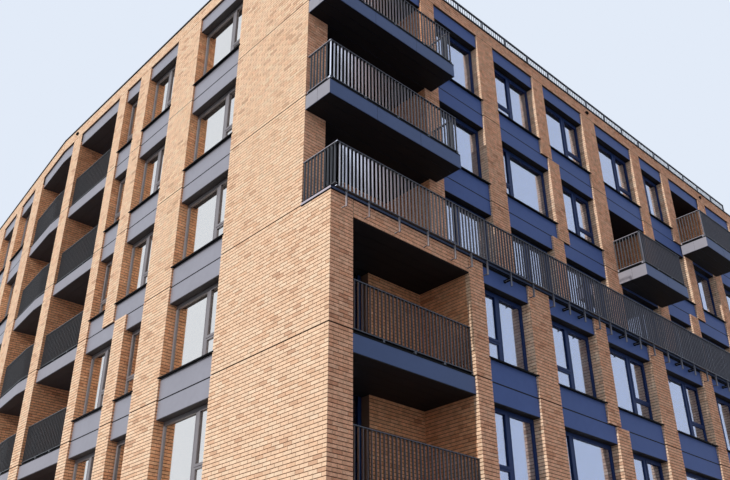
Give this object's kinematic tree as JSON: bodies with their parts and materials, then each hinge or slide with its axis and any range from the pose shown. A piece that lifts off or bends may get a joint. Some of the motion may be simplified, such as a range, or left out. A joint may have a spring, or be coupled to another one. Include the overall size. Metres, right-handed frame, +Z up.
{
  "type": "apartment block",
  "caption": "Corner apartment block with brick piers, metal panels, loggias, balconies and a roof terrace over the lower storeys.",
  "frame": {"origin": "outer corner of the lower storeys where the two street faces meet, at ground level", "axes": "+X along the right street face, +Y along the left street face, +Z up"},
  "size_m": [24.41, 23.887, 22.31],
  "materials": {
    "brick": "mixed buff, peach and brown facing brick with recessed mortar joints",
    "panel_metal": "satin blue-grey folded metal panels",
    "soffit_board": "matt black boards under the ceilings",
    "frame_metal": "satin anthracite window and door frames",
    "railing_metal": "matt anthracite steel railings",
    "coping_metal": "satin anthracite sheet metal coping",
    "glazing": "clear double glazing",
    "concrete": "plain grey concrete",
    "joint_filler": "dark recessed sealant"
  },
  "bodies": {
    "root": {"left_corner_wall": "brick", "left_piers": "brick", "left_panels": "panel_metal", "left_sills": "frame_metal", "left_window_frames": "frame_metal", "left_window_glass": "glazing", "right_lower_piers": "brick", "right_upper_piers": "brick", "corner_lintel": "brick", "right_lower_panels": "panel_metal", "right_upper_panels": "panel_metal", "right_sills": "frame_metal", "right_window_frames": "frame_metal", "right_window_glass": "glazing", "movement_joints": "joint_filler", "loggia_side_walls": "brick", "loggia_back_walls": "brick", "loggia_door_frames": "frame_metal", "loggia_door_glass": "glazing", "loggia_edges": "panel_metal", "loggia_soffits": "soffit_board", "loggia_railings": "railing_metal", "balcony_slabs": "panel_metal", "balcony_front_railings": "railing_metal", "balcony_front_bars": "railing_metal", "balcony_end_railings": "railing_metal", "terrace_coping": "coping_metal", "terrace_railing": "railing_metal", "terrace_end_railing": "railing_metal", "roof_guard_rail": "railing_metal", "right_wing_floors": "concrete", "left_wing_floors": "concrete", "street_parapets": "brick", "court_parapets": "brick", "party_walls": "brick", "roof_coping": "coping_metal", "roof_spouts": "frame_metal", "court_piers": "brick", "court_panels": "panel_metal", "court_sills": "frame_metal", "court_window_frames": "frame_metal", "court_window_glass": "glazing"}
  },
  "joints": []
}
